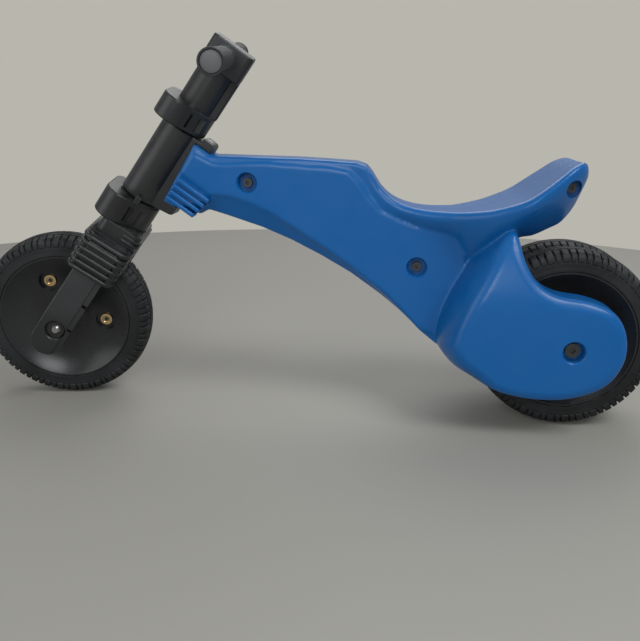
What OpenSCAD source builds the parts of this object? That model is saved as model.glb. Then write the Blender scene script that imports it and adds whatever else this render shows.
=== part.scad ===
/* [Wheels] */
// Outer radius of each tyre
wheel_r = 115; // [95:1:140]
// Width of each tyre
tyre_w = 51; // [42:1:62]
// Distance between the front and rear axles
wheelbase = 667; // [600:1:810]
// Gap between the twin rear wheels
twin_gap = 2; // [1.5:0.5:8]
// Radius of a wheel disc's outer edge
disc_r = 88; // [72:1:89]
// How deep a disc is dished below its edge
dish_depth = 15; // [8:1:17]
// Radius of the circle that a wheel's clamp bolts stand on
bolt_circle_r = 52.5; // [46:0.5:60]
// Radius of the front and rear axles
axle_r = 5; // [4:0.5:6]
// Running clearance of bushes on axles and spindle
run_gap = 0.05; // [0.02:0.01:0.1]

/* [Steering] */
// Tilt of the steering axis from upright
steer_tilt = 35.3; // [28:0.1:40]
// How far the front axle sits behind the steering axis
fork_offset = 4.4; // [0:0.1:8]
// Steering angle to each side
steer_limit = 40; // [25:1:45]
// Angle that the front wheel is turned to the left
steer_turn = 8.9; // [-20:0.1:20]
// Length of the head tube
head_len = 107; // [90:1:135]
// Outer radius of the head tube
head_r = 26; // [24:0.5:31]
// Radius of the steering spindle
spindle_r = 10; // [8:0.5:12]
// Gap that holds a bush flange at each end of the head tube
head_gap = 2; // [1.8:0.1:3]

/* [Fork] */
// Clearance between the front tyre and the fork
tyre_clear = 8; // [6:1:14]
// Half width across the outside of the fork's lower ends
leg_half = 69.5; // [66:0.5:84]
// Thickness of a fork leg beside the axle
leg_thick = 18; // [14:1:22]
// Half width of the ringed crown
crown_half = 62; // [56:1:75]
// How far the collars' ears reach ahead of the steering axis
ear_reach = 40; // [34:1:56]
// Half width of the collars' ears
ear_half = 46; // [40:1:56]
// Number of rings round the crown
ring_count = 6; // [4:1:8]

/* [Handlebar] */
// Radius of the stem
stem_r = 24; // [21:0.5:28]
// Height of the handlebar above the upper collar
bar_rise = 73; // [60:1:100]
// Half length of the handlebar
bar_half = 184; // [150:1:230]
// Radius of the handlebar tube
bar_r = 10; // [8:0.5:11]
// Wall of the handlebar tube
bar_wall = 2; // [1.5:0.5:3]
// Length of a grip
grip_len = 118; // [90:1:140]
// Rubber wall of a grip
grip_wall = 3; // [2.5:0.5:5]

/* [Frame] */
// Half width of the frame's beam
beam_half = 28; // [24:1:34]
// Wall of the frame's mouldings
wall = 4; // [3:0.5:5]
// Half width across the outside of the rear lobes
lobe_half = 100; // [94:1:116]
// Clearance between the rear tyres and the frame
well_gap = 8; // [6:1:14]
// Height of the seat's lowest point above the axles
seat_low = 156; // [150:1:185]
// Half width of the seat at its tail
seat_half = 80; // [70:1:96]
// Radius of the deep holes that hide the frame bolts
recess_r = 12; // [10:0.5:14]

/* [Hidden] */
$fn = 48;

BLUE = "royalblue";
BLACK = "#26282b";
RUBBER = "#1b1c1e";
STEEL = "silver";
BRASS = "goldenrod";
GREY = "dimgray";

gap = 0.1;      // fixed pieces of one body stand this far apart on curved faces
eps = 1;        // how far a cut runs past the face it opens
hub_half = tyre_w / 2;
twin_y = (tyre_w + twin_gap) / 2;
front_x = -wheelbase / 2;
rear_x = wheelbase / 2;

// Heights along the steering axis, counted from the foot of the axle's perpendicular
crown_s = wheel_r + tyre_clear;
ring_drop = 38;
ring_rise = 18;
neck_h = 20;
collar_low_h = 37;
collar_up_h = 30;
ring_low = crown_s - ring_drop;
ring_top = crown_s + ring_rise;
collar_low = ring_top + neck_h;
head_low = collar_low + collar_low_h + head_gap;
head_top = head_low + head_len;
collar_up = head_top + head_gap;
stem_low = collar_up + collar_up_h;
bar_s = stem_low + bar_rise;
stem_top = bar_s + 19;
socket_floor = ring_top - 11;
socket_top = stem_low + 40;
lug_h = 12;
lug_low = head_low + 5;
neck_low = lug_low + lug_h + 1;
neck_top = head_top - 5;
lug_rise = lug_h - 5;
lug_reach = 50;
lug_half = 15;
neck_front_up = head_r + 2;
neck_front_low = head_r + 8;
bush_len = 18;
bush_r = spindle_r + 3;
flange_h = head_gap - 0.4;

// The wheel well, the lobes and the seat hang on the rear axle
well_r = wheel_r + well_gap;
lobe_in = max(2 * twin_y - twin_gap / 2, tyre_w + twin_gap / 2) + well_gap;
edge_r = 12;
recess_floor = beam_half / 2;
frame_bolt_r = 3;
frame_head_r = 6;
axle_head_r = 9;
axle_recess = 16;
tail_bolt = [-9, 188];
tail_floor = 34;
rim_bolt_r = 3;
rim_well_r = 14;
rim_well_floor = 5;
bolt_angle = -26.5;
tread_drop = 13;

// Points on the side view: s along and t behind the steering axis, then from each axle
function steer_x() = front_x - fork_offset * cos(steer_tilt);
function steer_z() = wheel_r + fork_offset * sin(steer_tilt);
function on_steer(s, t) = [
    steer_x() + s * sin(steer_tilt) + t * cos(steer_tilt),
    steer_z() + s * cos(steer_tilt) - t * sin(steer_tilt)
];
function on_rear(x, z) = [rear_x + x, wheel_r + z];

// A smooth curve through the points, open or closed
function curve_point(a, b, c, d, u) =
    ((2 * b) + (c - a) * u + (2 * a - 5 * b + 4 * c - d) * u * u
    + (3 * b - a - 3 * c + d) * u * u * u) / 2;
function closed_curve(p, n) = let(m = len(p)) [
    for (i = [0:m - 1]) for (j = [0:n - 1])
        curve_point(p[(i + m - 1) % m], p[i], p[(i + 1) % m], p[(i + 2) % m], j / n)
];
function open_curve(p, n) = let(m = len(p)) concat([
    for (i = [0:m - 2]) for (j = [0:n - 1])
        curve_point(p[max(i - 1, 0)], p[i], p[i + 1], p[min(i + 2, m - 1)], j / n)
], [p[m - 1]]);

// The outward normal at each corner of a closed outline that runs anticlockwise
function side_normal(a, b) = let(d = b - a) [d[1], -d[0]] / norm(d);
function corner_normal(a, b, c) = let(n = side_normal(a, b), m = side_normal(b, c)) (n + m) / (1 + n * m);
function flat(p) = [p[0], p[1]];
function normal_at(p, i) = let(m = len(p))
    corner_normal(flat(p[(i + m - 1) % m]), flat(p[i]), flat(p[(i + 1) % m]));
function inset(p, d) = [for (i = [0:len(p) - 1]) flat(p[i]) - d * normal_at(p, i)];

// A rectangle with round corners
function round_box(x0, x1, y0, y1, r) = [
    for (q = [[x1 - r, y1 - r, 0], [x0 + r, y1 - r, 90], [x0 + r, y0 + r, 180], [x1 - r, y0 + r, 270]])
        for (a = [0:18:90]) [q[0] + r * cos(q[2] + a), q[1] + r * sin(q[2] + a)]
];

// A plate whose outline is drawn on the side view, from y0 to y1
module side_plate(outline, y0, y1) {
    translate([0, y1, 0])
        rotate([90, 0, 0])
            linear_extrude(y1 - y0)
                polygon(outline);
}

// A rod or hole across the bike, from y0 to y1
module cross_rod(p, r, y0, y1) {
    translate([p[0], y0, p[1]])
        rotate([-90, 0, 0])
            cylinder(r = r, h = y1 - y0);
}

// A solid skinned over rings with the same count of points; they run anticlockwise seen from the last
module skin(rings) {
    n = len(rings[0]);
    m = len(rings);
    sides = [
        for (k = [0:m - 2]) for (i = [0:n - 1])
            [k * n + i, (k + 1) * n + i, (k + 1) * n + (i + 1) % n, k * n + (i + 1) % n]
    ];
    polyhedron(
        [for (ring = rings) for (p = ring) p],
        concat([[for (i = [0:n - 1]) i]], sides, [[for (i = [n - 1:-1:0]) (m - 1) * n + i]])
    );
}

// Children are drawn round the steering axis: x behind it, z along it
module steer() {
    translate([steer_x(), 0, steer_z()])
        rotate([0, steer_tilt, 0])
            children();
}

// Children turn with the fork: x behind the steering axis, z along it
module steered() {
    steer()
        rotate([0, 0, steer_turn])
            children();
}

// Children are drawn on the front axle, which is turned from z to y
module on_front_axle() {
    steered()
        translate([fork_offset, 0, 0])
            rotate([-90, 0, 0])
                children();
}

// Children are drawn on a wheel's axis, which is turned from z to y
module on_axle(x, y) {
    translate([x, y, wheel_r])
        rotate([-90, 0, 0])
            children();
}

/* ---- Frame halves ---- */

beam_top = concat(
    [on_steer(neck_top, neck_front_up), on_steer(neck_top, lug_reach + 2), on_steer(neck_top + 1, lug_reach + 5)],
    [on_steer(neck_top + 11, lug_reach + 18), on_rear(-340, 217), on_rear(-262, 212)],
    open_curve([on_rear(-252, 206), on_rear(-240, 189), on_rear(-220, 164)], 3)
);
beam_rear = [on_rear(-150, seat_low - 12), on_rear(-92, seat_low - 16), on_rear(-92, 60), on_rear(-110, -30)];
beam_under = open_curve([
    on_rear(-150, -24), on_rear(-179, -4), on_rear(-207, 22), on_rear(-233, 42), on_rear(-273, 70),
    on_rear(-312, 93), on_rear(-350, 112), on_rear(-389, 128), on_steer(neck_low + 32, 110)
], 2);
beam_nose = [
    on_steer(neck_low + 24, 87), on_steer(neck_low + 13, 82), on_steer(neck_low, 50),
    on_steer(neck_low, neck_front_low)
];
function reversed(p) = [for (i = [len(p) - 1:-1:0]) p[i]];
beam_outline = reversed(concat(beam_top, beam_rear, beam_under, beam_nose));

arm_bolts = [on_steer(neck_top + 0.5, lug_reach + 60), on_rear(-188, 83)];
rear_hub = on_rear(0, 0);

// Lobe outline on the rear axle: x and z at the beam's side, then x and z at the lobe's outer face
lobe_keys = [
    [-159, -8, -140, 2], [-146, -25, -138, -15], [-133, -36, -131, -32], [-108, -48, -108, -48],
    [-83, -58, -83, -58], [-45, -65, -45, -65], [0, -63, 0, -63], [41, -46, 41, -46], [62, -14, 62, -14],
    [61, 22, 61, 22], [45, 48, 45, 48], [15, 61, 15, 61], [-24, 68, -24, 68], [-50, 86, -50, 86],
    [-66, 118, -66, 118], [-72, 150, -74, 150], [-112, 150, -106, 150], [-118, 118, -106, 112],
    [-132, 77, -112, 72], [-146, 48, -121, 43], [-155, 19, -131, 18]
];
lobe_curve = closed_curve(lobe_keys, 3);
lobe_steps = 8;
function ramp_at(y) = let(u = (y - beam_half) / (lobe_half - beam_half)) u <= 0 ? 0 : u * u * (3 - 2 * u);
function round_at(y) = let(d = y - (lobe_half - edge_r)) d <= 0 ? 0 : edge_r - sqrt(edge_r * edge_r - d * d);
function lobe_ring(y) = [
    for (i = [0:len(lobe_curve) - 1])
        let(
            p = lobe_curve[i],
            q = flat(p) + ([p[2], p[3]] - flat(p)) * ramp_at(y) - normal_at(lobe_curve, i) * round_at(y)
        ) [rear_x + q[0], y, wheel_r + q[1]]
];
// The lobes lean in towards the seat above their shoulder
lobe_front_view = [
    [0, -100], [lobe_half + 1, -100], [lobe_half + 1, 75], [seat_half - 16, 136], [seat_half - 20, 160], [0, 160]
];
lobe_levels = concat(
    [beam_half - wall],
    [for (k = [0:4]) beam_half + k * (lobe_half - edge_r - beam_half) / 4],
    [for (k = [1:lobe_steps - 3]) lobe_half - edge_r + edge_r * sin(k * 80 / (lobe_steps - 3))]
);
lobe_pocket = closed_curve([
    [-98, -32], [-60, -46], [-5, -45], [32, -28], [44, 5], [34, 34], [4, 46], [-36, 52], [-74, 60],
    [-94, 50], [-104, 30], [-108, 0]
], 3);

// Seat stations on the rear axle: x, half width, height of the rim, height of the underside
seat_stations = [
    [-262, beam_half - 1, seat_low + 55, 146], [-250, beam_half, seat_low + 48, 146],
    [-240, beam_half + 1, seat_low + 32, 145], [-225, beam_half + 2, seat_low + 16, 144],
    [-205, beam_half + 4, seat_low + 6, 140], [-180, beam_half + 7, seat_low + 1, 134],
    [-152, seat_half - 39, seat_low, 126], [-127, seat_half - 27, seat_low + 2, 118],
    [-97, seat_half - 11, seat_low + 8, 120], [-67, seat_half - 1, seat_low + 19, 128],
    [-47, seat_half, seat_low + 32, 127], [-27, seat_half - 7, seat_low + 47, 137],
    [-16, seat_half - 12, seat_low + 55, 144], [-8, seat_half - 17, seat_low + 59, 153],
    [-1, seat_half - 23, seat_low + 60, 165], [4, seat_half - 29, seat_low + 59, 177],
    [8, seat_half - 37, seat_low + 56, 189], [11, seat_half - 48, seat_low + 51, 198]
];
function seat_ring(p, w) = let(x = rear_x + p[0], half = p[1] - w, top = p[2] - w, low = p[3] + w)
    let(foot = min(beam_half - w, half - 1), drop = top - low) [
        for (q = [
            [0, low], [foot, low], [half - (half - foot) * 0.45, low + drop * 0.35],
            [half - (half - foot) * 0.12, low + drop * 0.62], [half, low + drop * 0.84],
            [half - 2, top - drop * 0.05], [half - 7, top], [0, top - 2]
        ]) [x, q[0], wheel_r + q[1]]
    ];

// One half of the frame, on the +y side; the hollow is open where the halves meet
module frame_shell() {
    difference() {
        union() {
            side_plate(beam_outline, 0, beam_half);
            skin([for (p = seat_stations) seat_ring(p, 0)]);
            intersection() {
                skin([for (y = lobe_levels) reversed(lobe_ring(y))]);
                translate([rear_x - 200, 0, wheel_r])
                    rotate([90, 0, 90])
                        linear_extrude(300)
                            polygon(lobe_front_view);
            }
            for (k = [0:3])
                steer()
                    translate([neck_front_low, 0, neck_low + 6 + 9 * k])
                        cube([42 + 2 * k, beam_half + 2.5, 5]);
        }
        difference() {
            side_plate(inset(beam_outline, wall), -eps, beam_half - wall);
            for (p = arm_bolts)
                cross_rod(p, recess_r + wall, -2 * eps, beam_half);
        }
        difference() {
            skin([for (k = [4:len(seat_stations) - 6]) seat_ring(seat_stations[k], wall)]);
            cross_rod(on_rear(tail_bolt[0], tail_bolt[1]), recess_r + wall, -eps, seat_half);
        }
        cross_rod(rear_hub, well_r, -eps, lobe_in);
        difference() {
            side_plate([for (p = lobe_pocket) on_rear(p[0], p[1])], lobe_in - eps, lobe_half - wall);
            cross_rod(rear_hub, 21, lobe_in - 2 * eps, lobe_half);
            for (a = [20:60:320])
                translate([rear_x, lobe_in - 2 * eps, wheel_r])
                    rotate([0, a, 0])
                        translate([0, 0, -1.5])
                            cube([140, lobe_half, 3]);
        }
        for (p = arm_bolts) {
            cross_rod(p, recess_r, recess_floor, beam_half + 9);
            cross_rod(p, frame_bolt_r + gap, -eps, beam_half);
        }
        cross_rod(on_rear(tail_bolt[0], tail_bolt[1]), recess_r - 1, tail_floor, seat_half + eps);
        cross_rod(on_rear(tail_bolt[0], tail_bolt[1]), frame_bolt_r + gap, -eps, seat_half);
        cross_rod(rear_hub, axle_r + gap, 0, lobe_half);
        cross_rod(rear_hub, recess_r + 1, lobe_half - axle_recess, lobe_half + eps);
        for (s = [neck_low - eps, neck_top - 22])
            steer()
                translate([lug_reach - 11, 0, s])
                    cylinder(r = 2.5 + gap, h = 23 + eps);
    }
}
module frame_half_right() {
    color(BLUE) frame_shell();
}
module frame_half_left() {
    color(BLUE) mirror([0, 1, 0]) frame_shell();
}

// A head and shank across both halves, then the nut at its far end
module frame_bolt(p, floor_y) {
    cross_rod(p, frame_bolt_r, -floor_y, floor_y + 9);
    difference() {
        cross_rod(p, frame_head_r, -floor_y - 6, -floor_y);
        cross_rod(p, 2.5, -floor_y - 7, -floor_y - 3);
    }
}
module frame_nut(p, floor_y) {
    difference() {
        translate([p[0], floor_y, p[1]])
            rotate([-90, 0, 0])
                cylinder(r = frame_head_r + 0.5, h = 5, $fn = 6);
        cross_rod(p, frame_bolt_r + gap, floor_y - eps, floor_y + 9);
    }
}
module frame_bolts() {
    color(STEEL) {
        for (p = arm_bolts)
            frame_bolt(p, recess_floor);
        frame_bolt(on_rear(tail_bolt[0], tail_bolt[1]), tail_floor);
    }
}
module frame_nuts() {
    color(STEEL) {
        for (p = arm_bolts)
            frame_nut(p, recess_floor);
        frame_nut(on_rear(tail_bolt[0], tail_bolt[1]), tail_floor);
    }
}

/* ---- Head tube and its bushes ---- */

spine = [
    [0, head_low], [lug_reach - 2, lug_low], [lug_reach + 2, lug_low + 2], [lug_reach + 2, neck_low],
    [neck_front_low, neck_low], [neck_front_up, neck_top], [lug_reach, neck_top],
    [lug_reach, head_top + lug_rise - 2], [lug_reach - 3, head_top + lug_rise],
    [stem_r + 9, head_top + lug_rise], [stem_r + 9, head_top], [0, head_top]
];
module head_tube() {
    color(BLACK)
        steer()
            difference() {
                union() {
                    translate([0, 0, head_low])
                        cylinder(r = head_r, h = head_len, $fn = 96);
                    translate([0, lug_half, 0])
                        rotate([90, 0, 0])
                            linear_extrude(2 * lug_half)
                                polygon(spine);
                }
                translate([0, 0, head_low - eps])
                    cylinder(r = bush_r + gap, h = head_len + 2 * eps);
                for (s = [lug_low - eps, neck_top - eps])
                    translate([lug_reach - 11, 0, s])
                        cylinder(r = 2.5 + gap, h = lug_h + 3 * eps);
                translate([lug_reach - 11, 0, head_top + lug_rise - 4])
                    cylinder(r = 5, h = 4 + eps);
                translate([lug_reach - 11, 0, lug_low - eps])
                    cylinder(r = 5, h = 4 + eps);
            }
}

// A flanged bush: the flange sits on the tube's end, between tube and collar
module head_bush(flange_s, body_s) {
    color(GREY)
        steer()
            difference() {
                union() {
                    translate([0, 0, flange_s])
                        cylinder(r = bush_r + 5, h = flange_h);
                    translate([0, 0, body_s])
                        cylinder(r = bush_r, h = bush_len);
                }
                translate([0, 0, min(flange_s, body_s) - eps])
                    cylinder(r = spindle_r + run_gap, h = bush_len + flange_h + 2 * eps);
            }
}
module head_bush_upper() {
    head_bush(head_top, head_top - bush_len);
}
module head_bush_lower() {
    head_bush(head_low - flange_h, head_low);
}
module lug_screw() {
    cylinder(r = 4.6, h = 3);
    translate([0, 0, 3])
        cylinder(r = 2.5, h = 26);
}
module lug_screws() {
    color(STEEL)
        steer() {
            translate([lug_reach - 11, 0, lug_low])
                lug_screw();
            translate([lug_reach - 11, 0, head_top + lug_rise])
                mirror([0, 0, 1])
                    lug_screw();
        }
}

/* ---- Stem, fork and spindle ---- */

// A collar: round at the back, with a wide ear across its front
module collar(s, h, back_r) {
    hull() {
        translate([0, 0, s])
            cylinder(r = back_r, h = h, $fn = 32);
        for (side = [-1, 1])
            translate([22 - ear_reach, side * (ear_half - 22), s + 3])
                cylinder(r = 22, h = h - 3, $fn = 32);
    }
}
module stem() {
    color(BLACK)
        steered()
            difference() {
                union() {
                    collar(collar_up, collar_up_h, stem_r + 6);
                    translate([0, 0, stem_low - eps])
                        cylinder(r = stem_r, h = stem_top - stem_low - 4);
                    translate([0, 0, bar_s - 20])
                        linear_extrude(stem_top - bar_s + 20)
                            polygon(round_box(-stem_r - 3, stem_r + 8, -stem_r - 3, stem_r + 3, 7));
                    translate([0, 0, stem_low - eps])
                        linear_extrude(stem_top - stem_low)
                            polygon(round_box(0, stem_r + 8, -11, 11, 3));
                }
                translate([0, 0, collar_up - eps])
                    cylinder(r = spindle_r + gap, h = socket_top - collar_up + eps);
                translate([0, -stem_r - 9, bar_s])
                    rotate([-90, 0, 0])
                        cylinder(r = bar_r + gap, h = 2 * stem_r + 18);
                for (side = [-1, 1])
                    translate([-2, side * (stem_r + 9) - 8, collar_up + 5])
                        cube([14, 16, collar_up_h - 10]);
                bolt_path(stem_low + 14);
                translate([bar_r - 4, 0, bar_s])
                    rotate([0, 90, 0])
                        cylinder(r = 2.5 + gap, h = 60);
                translate([stem_r + 4, 0, bar_s])
                    rotate([0, 90, 0])
                        cylinder(r = 5, h = 10);
            }
}

// The hole and the seat of a cross bolt, which goes in from behind
module bolt_path(s) {
    translate([-spindle_r - 6, 0, s])
        rotate([0, 90, 0])
            cylinder(r = 2.5 + gap, h = 90);
    translate([stem_r + 4, 0, s])
        rotate([0, 90, 0])
            cylinder(r = 5, h = 60);
}
module cross_bolt(s) {
    translate([-spindle_r - 5, 0, s])
        rotate([0, 90, 0])
            cylinder(r = 2.5, h = spindle_r + 5 + stem_r + 4);
    translate([stem_r + 4, 0, s])
        rotate([0, 90, 0])
            cylinder(r = 4.6, h = 3);
}
low_bolt_s = collar_low + 6;
module spindle_bolts() {
    color(STEEL)
        steered() {
            cross_bolt(stem_low + 14);
            cross_bolt(low_bolt_s);
        }
}
module steering_spindle() {
    color(STEEL)
        steered()
            difference() {
                translate([0, 0, socket_floor])
                    cylinder(r = spindle_r, h = socket_top - socket_floor - 1);
                translate([0, 0, socket_floor - eps])
                    cylinder(r = spindle_r - 3, h = socket_top - socket_floor + 2 * eps);
                for (s = [stem_low + 14, low_bolt_s])
                    translate([-spindle_r - 5, 0, s])
                        rotate([0, 90, 0])
                            cylinder(r = 2.5 + gap, h = 2 * spindle_r + 10);
            }
}

leg_front = -19;
leg_back = 23;
slot_half = tyre_w / 2 + tyre_clear + 0.5;
leg_section = [
    [crown_half, crown_s + 8], [crown_half - 6, ring_low], [leg_half, 20], [leg_half, -60],
    [leg_half - leg_thick, -60], [leg_half - leg_thick, 20], [slot_half, ring_low], [slot_half, crown_s + 8]
];
ring_pitch = (ring_top - ring_low) / ring_count;
crown_front = -31;
crown_back = 36;

// The leg on the +y side: its front view cut to its side view
module leg() {
    difference() {
        intersection() {
            translate([leg_front - 10, 0, 0])
                rotate([90, 0, 90])
                    linear_extrude(80)
                        polygon(leg_section);
            union() {
                translate([leg_front, 0, -19])
                    cube([leg_back - leg_front, leg_half + 10, crown_s + 27]);
                translate([2, 0, -19])
                    rotate([-90, 0, 0])
                        cylinder(r = (leg_back - leg_front) / 2, h = leg_half + 10);
            }
        }
        for (k = [0:2])
            translate([leg_back - 7, leg_half - leg_thick + 4, ring_low - 30 - 32 * k])
                cube([8, leg_thick - 8, 26]);
        translate([fork_offset, 0, 0])
            rotate([-90, 0, 0])
                cylinder(r = axle_r + gap, h = leg_half + eps);
        translate([fork_offset, leg_half - 6, 0])
            rotate([-90, 0, 0])
                cylinder(r = 13, h = 7);
    }
}

// The stop on each side meets the lower lug's flank at the steering limit
stop_r = head_r + 9;
stop_angle = steer_limit + asin(lug_half / (stop_r - 6)) + 13;
module fork() {
    color(BLACK)
        steered()
            difference() {
                union() {
                    for (side = [0, 1])
                        mirror([0, side, 0])
                            leg();
                    for (k = [0:ring_count - 1]) {
                        translate([0, 0, ring_low + k * ring_pitch])
                            linear_extrude(ring_pitch * 0.55)
                                polygon(round_box(crown_front, crown_back, -crown_half, crown_half, 14));
                        translate([0, 0, ring_low + (k + 0.5) * ring_pitch])
                            linear_extrude(ring_pitch * 0.55)
                                polygon(round_box(crown_front + 3, crown_back - 3, 3 - crown_half, crown_half - 3, 12));
                    }
                    translate([0, 0, ring_top - eps])
                        linear_extrude(neck_h + 2 * eps)
                            polygon(round_box(-22, crown_back - 2, -44, 44, 10));
                    collar(collar_low, collar_low_h, stem_r + 8);
                    for (side = [-1, 1])
                        rotate([0, 0, side * stop_angle])
                            translate([stop_r - 5, -4, collar_low + collar_low_h - eps])
                                cube([9, 8, 9 + eps]);
                }
                translate([-60, -slot_half, -60])
                    cube([130, 2 * slot_half, crown_s + 60]);
                translate([0, 0, socket_floor])
                    cylinder(r = spindle_r + gap, h = 200);
                for (side = [-1, 1])
                    translate([-2, side * (stem_r + 11) - 8, collar_low + 6])
                        cube([14, 16, collar_low_h - 14]);
                bolt_path(low_bolt_s);
            }
}

/* ---- Handlebar ---- */

// Children are drawn on the handlebar's axis, turned from z to y
module on_bar() {
    steered()
        translate([0, 0, bar_s])
            rotate([-90, 0, 0])
                children();
}
module handlebar() {
    color(STEEL)
        on_bar()
            difference() {
                translate([0, 0, 3 - bar_half])
                    cylinder(r = bar_r, h = 2 * bar_half - 6);
                translate([0, 0, -bar_half])
                    cylinder(r = bar_r - bar_wall, h = 2 * bar_half);
                rotate([0, 90, 0])
                    cylinder(r = 2.5 + gap, h = bar_r + eps);
            }
}
module bar_screw() {
    color(STEEL)
        steered()
            translate([bar_r - 3.5, 0, bar_s])
                rotate([0, 90, 0]) {
                    cylinder(r = 2.5, h = stem_r + 4 - bar_r + 3.5);
                    translate([0, 0, stem_r + 4 - bar_r + 3.5])
                        cylinder(r = 4.6, h = 3);
                }
}
grip_out = bar_r + grip_wall;
module grip() {
    difference() {
        union() {
            translate([0, 0, bar_half - grip_len])
                cylinder(r = grip_out, h = grip_len - 1);
            for (k = [0:14])
                translate([0, 0, bar_half - grip_len + 6 + 7 * k])
                    cylinder(r = grip_out + 0.6, h = 3.5);
            translate([0, 0, bar_half - grip_len])
                cylinder(r = grip_out + 2, h = 3);
            translate([0, 0, bar_half - 5])
                cylinder(r = grip_out + 1.5, h = 5);
        }
        translate([0, 0, bar_half - grip_len - eps])
            cylinder(r = bar_r + gap, h = grip_len - 3 + eps);
        translate([0, 0, bar_half - 5])
            cylinder(r = grip_out - 1, h = 6);
    }
}
module grip_right() {
    color(RUBBER) on_bar() grip();
}
module grip_left() {
    color(RUBBER) on_bar() mirror([0, 0, 1]) grip();
}

// A plug closes the tube's end with a shallow domed face
module bar_plug() {
    translate([0, 0, bar_half - 16])
        cylinder(r = bar_r - bar_wall - gap, h = 14);
    translate([0, 0, bar_half - 3])
        cylinder(r = grip_out - 1 - gap, h = 2.5);
}
module bar_plug_right() {
    color(GREY) on_bar() bar_plug();
}
module bar_plug_left() {
    color(GREY) on_bar() mirror([0, 0, 1]) bar_plug();
}

/* ---- Axles ---- */

leg_seat = leg_half - 6;
module ring_piece(r_in, r_out, z0, z1) {
    translate([0, 0, z0])
        difference() {
            cylinder(r = r_out, h = z1 - z0);
            translate([0, 0, -eps])
                cylinder(r = r_in, h = z1 - z0 + 2 * eps);
        }
}
module front_axle() {
    color(STEEL)
        on_front_axle() {
            translate([0, 0, -leg_seat - 2])
                cylinder(r = axle_r, h = 2 * leg_seat + 6);
            translate([0, 0, -leg_seat - 5])
                cylinder(r1 = axle_r - 1, r2 = axle_r + 1.5, h = 3);
        }
}
module front_axle_nut() {
    color(STEEL)
        on_front_axle()
            difference() {
                translate([0, 0, leg_seat + 2])
                    cylinder(r1 = axle_r + 3, r2 = axle_r, h = 3.5);
                cylinder(r = axle_r - gap, h = leg_seat + 2.1);
                translate([0, 0, leg_seat])
                    cylinder(r = axle_r + gap, h = 4.1);
            }
}
module front_washers() {
    color(BLACK)
        on_front_axle() {
            ring_piece(axle_r + gap, 11, leg_seat, leg_seat + 2);
            ring_piece(axle_r + gap, 11, -leg_seat - 2, -leg_seat);
        }
}
module front_spacers() {
    color(GREY)
        on_front_axle() {
            ring_piece(axle_r + gap, axle_r + 4, hub_half + 0.4, leg_half - leg_thick);
            ring_piece(axle_r + gap, axle_r + 4, leg_thick - leg_half, -hub_half - 0.4);
        }
}
lobe_seat = lobe_half - axle_recess;
module rear_axle() {
    color(STEEL)
        on_axle(rear_x, 0) {
            translate([0, 0, -lobe_seat])
                cylinder(r = axle_r, h = 2 * lobe_seat + 8);
            difference() {
                translate([0, 0, -lobe_seat - 6])
                    cylinder(r = axle_head_r, h = 6);
                translate([0, 0, -lobe_seat - 7])
                    cylinder(r = 4, h = 4, $fn = 6);
            }
        }
}
module rear_axle_nut() {
    color(STEEL)
        on_axle(rear_x, 0)
            difference() {
                translate([0, 0, lobe_seat])
                    cylinder(r = axle_head_r + 0.5, h = 7, $fn = 6);
                translate([0, 0, lobe_seat - eps])
                    cylinder(r = axle_r + gap, h = 9);
            }
}
module rear_spacers() {
    color(GREY)
        on_axle(rear_x, 0) {
            ring_piece(axle_r + gap, axle_r + 5, twin_y + hub_half + 0.4, lobe_in);
            ring_piece(axle_r + gap, axle_r + 5, -lobe_in, -twin_y - hub_half - 0.4);
        }
}
module rear_centre_washer() {
    color(GREY)
        on_axle(rear_x, 0)
            ring_piece(axle_r + gap, axle_r + 5, 0.4 - twin_gap / 2, twin_gap / 2 - 0.4);
}

/* ---- Wheels ---- */

rim_lip = 3;
seat_r = disc_r - 4;
flange_y = hub_half - 0.7;
floor_y = flange_y - dish_depth;
dish_start = 50;
hub_r = 14;
bush_out = axle_r + 3;
rim_wall = 3;
function dish_y(r) = let(u = max(0, (r - dish_start) / (disc_r - dish_start)))
    floor_y + dish_depth * (1 - cos(90 * u)) ;
dish_radii = [for (k = [0:8]) dish_start + (disc_r - dish_start) * k / 8];
rim_section = concat(
    [[bush_out + gap, 0], [bush_out + gap, hub_half], [hub_r - 1, hub_half], [hub_r + 2, floor_y + 3], [hub_r + 6, floor_y]],
    [for (r = dish_radii) [r, dish_y(r)]],
    [[disc_r, flange_y - rim_lip], [seat_r, flange_y - rim_lip - 1], [seat_r, 0], [seat_r - rim_wall, 0]],
    [for (k = [6:-1:0]) [dish_radii[k] - 1, dish_y(dish_radii[k]) - rim_wall]],
    [[hub_r, floor_y - rim_wall], [hub_r, 0]]
);

// Places of the clamp bolts round a wheel
module round_wheel() {
    for (k = [0:2])
        rotate([0, 0, bolt_angle + 120 * k])
            translate([bolt_circle_r, 0, 0])
                children();
}
module rim_half() {
    difference() {
        union() {
            rotate_extrude($fn = 96)
                polygon(rim_section);
            round_wheel()
                cylinder(r = rim_well_r + 2.5, h = floor_y);
        }
        round_wheel() {
            translate([0, 0, rim_well_floor])
                cylinder(r = rim_well_r, h = hub_half);
            translate([0, 0, -eps])
                cylinder(r = rim_bolt_r + gap, h = hub_half);
        }
    }
}
tyre_r = disc_r + gap;
crown_r = 60;
function crown_point(y) = [wheel_r - crown_r + sqrt(crown_r * crown_r - y * y), y];
tyre_side = [
    [seat_r + gap, 0], [seat_r + gap, flange_y - rim_lip - 1.1], [tyre_r, flange_y - rim_lip - 0.1],
    [tyre_r, hub_half], [wheel_r - tread_drop, hub_half],
    for (k = [4:-1:0]) crown_point(k * (hub_half - 3) / 4)
];
module tyre() {
    rotate_extrude($fn = 96)
        polygon(concat(tyre_side, [for (k = [len(tyre_side) - 2:-1:1]) [tyre_side[k][0], -tyre_side[k][1]]]));
}
module bush() {
    ring_piece(axle_r + run_gap, bush_out, hub_half - 14, hub_half);
}
module bushes() {
    bush();
    mirror([0, 0, 1]) bush();
}
nut_reach = 6;
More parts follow.
